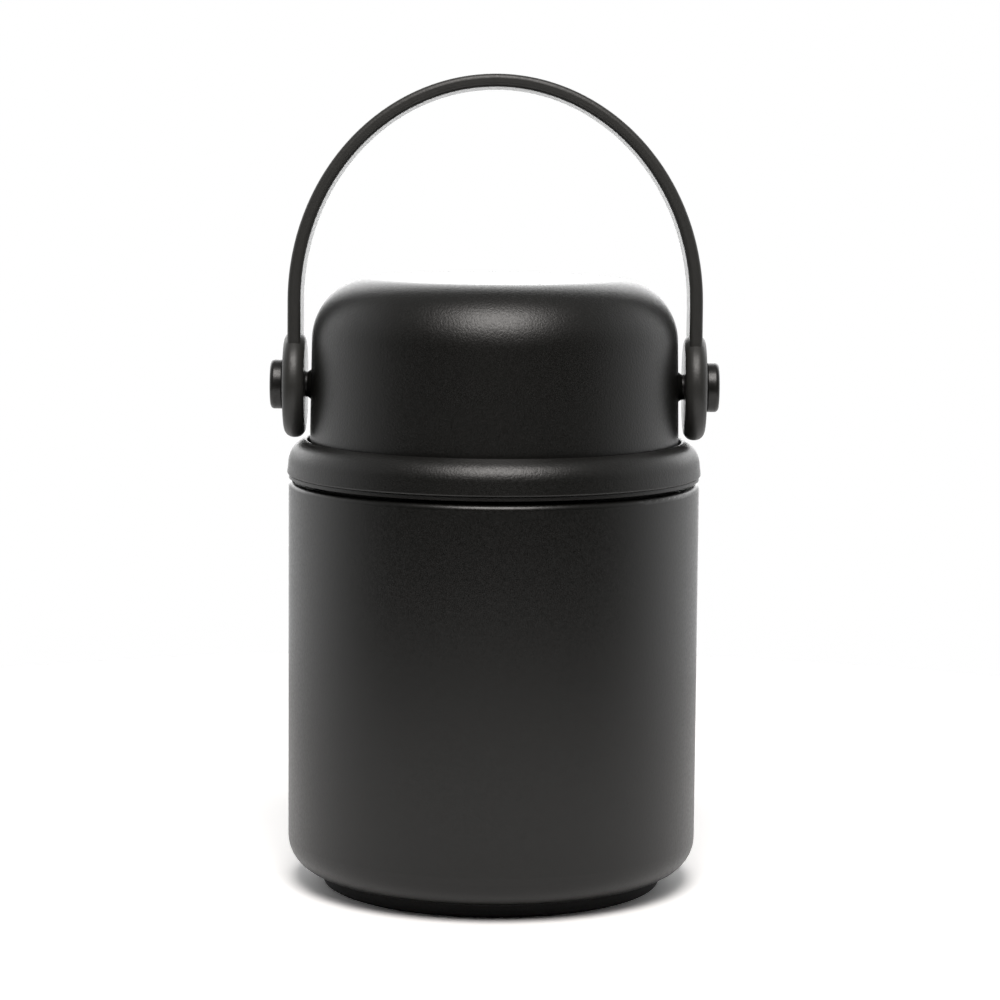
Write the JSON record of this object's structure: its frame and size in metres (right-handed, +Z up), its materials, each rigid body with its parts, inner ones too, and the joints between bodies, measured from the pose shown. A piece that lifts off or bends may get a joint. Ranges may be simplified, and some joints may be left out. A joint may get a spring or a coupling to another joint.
{
  "type": "insulated food jar",
  "caption": "Upright vacuum-walled steel food jar with a screw-in insulated lid, a domed screw-on cup and an arched swinging carrying bail.",
  "frame": {"origin": "middle of the underside, on the surface that the jar stands on", "axes": "+Z up along the jar's axis; +X along the bail's pivot pins, to the right as seen from the front; -Y to the front"},
  "size_m": [0.1088, 0.1006, 0.1973],
  "materials": {
    "powder_coated_steel": "fine matte black powder coat on steel sheet",
    "stainless_steel": "electropolished stainless steel sheet",
    "solder_glass": "fused solder glass",
    "foot_rubber": "matte black rubber",
    "silicone": "translucent grey silicone",
    "moulded_polypropylene": "finely textured black moulding",
    "insulating_foam": "expanded foam",
    "lid_pan_plastic": "smooth black moulding",
    "button_plastic": "smooth grey moulding",
    "spring_steel": "bright drawn wire",
    "bowl_plastic": "satin black moulding",
    "pin_coating": "satin black coating on a turned steel pin",
    "bush_acetal": "smooth black acetal",
    "bail_plastic": "satin black moulding"
  },
  "bodies": {
    "jar": {"outer_shell": "powder_coated_steel", "inner_liner": "stainless_steel", "base_cup": "stainless_steel", "vacuum_seal": "solder_glass", "getter": "stainless_steel", "foot_pad": "foot_rubber"},
    "lid_seal": {"lid_gasket": "silicone"},
    "lid": {"lid_shell": "moulded_polypropylene", "lid_foam": "insulating_foam", "lid_pan": "lid_pan_plastic"},
    "vent": {"vent_button": "button_plastic", "vent_spring": "spring_steel", "vent_seal": "silicone", "vent_clip": "spring_steel"},
    "cup_seal": {"cup_gasket": "silicone"},
    "cup": {"dome_shell": "moulded_polypropylene", "cup_liner": "bowl_plastic", "pivot_pin_right": "pin_coating", "pivot_pin_left": "pin_coating", "pivot_bush_right": "bush_acetal", "pivot_bush_left": "bush_acetal", "pivot_washer_right": "bush_acetal", "pivot_washer_left": "bush_acetal", "pivot_nut_right": "stainless_steel", "pivot_nut_left": "stainless_steel"},
    "bail": {"bail_handle": "bail_plastic"}
  },
  "joints": [
    {"name": "lid_rise", "type": "slide", "parent": "jar", "child": "lid_seal", "axis": [0, 0, 1], "range_m": [0, 0.0241]},
    {"name": "lid_turn", "type": "hinge", "parent": "lid_seal", "child": "lid", "pos_m": [0, 0, 0.0925], "axis": [0, 0, 1], "range_deg": [0, 720]},
    {"name": "vent_press", "type": "slide", "parent": "lid", "child": "vent", "axis": [0, 0, -1], "range_m": [0, 0.0018], "stiffness_N_per_m": 600, "springref_m": -0.002, "deforming": ["vent_spring"]},
    {"name": "cup_rise", "type": "slide", "parent": "lid", "child": "cup_seal", "axis": [0, 0, 1], "range_m": [0, 0.0241]},
    {"name": "cup_turn", "type": "hinge", "parent": "cup_seal", "child": "cup", "pos_m": [0, 0, 0.112], "axis": [0, 0, 1], "range_deg": [0, 720]},
    {"name": "bail_swing", "type": "hinge", "parent": "cup", "child": "bail", "pos_m": [0, 0, 0.12205], "axis": [1, 0, 0], "range_deg": [-110, 115.5]}
  ],
  "couplings": [
    {"joint": "lid_rise", "follows": "lid_turn", "m_per_rad": 0.0019099},
    {"joint": "cup_rise", "follows": "cup_turn", "m_per_rad": 0.0019099}
  ]
}
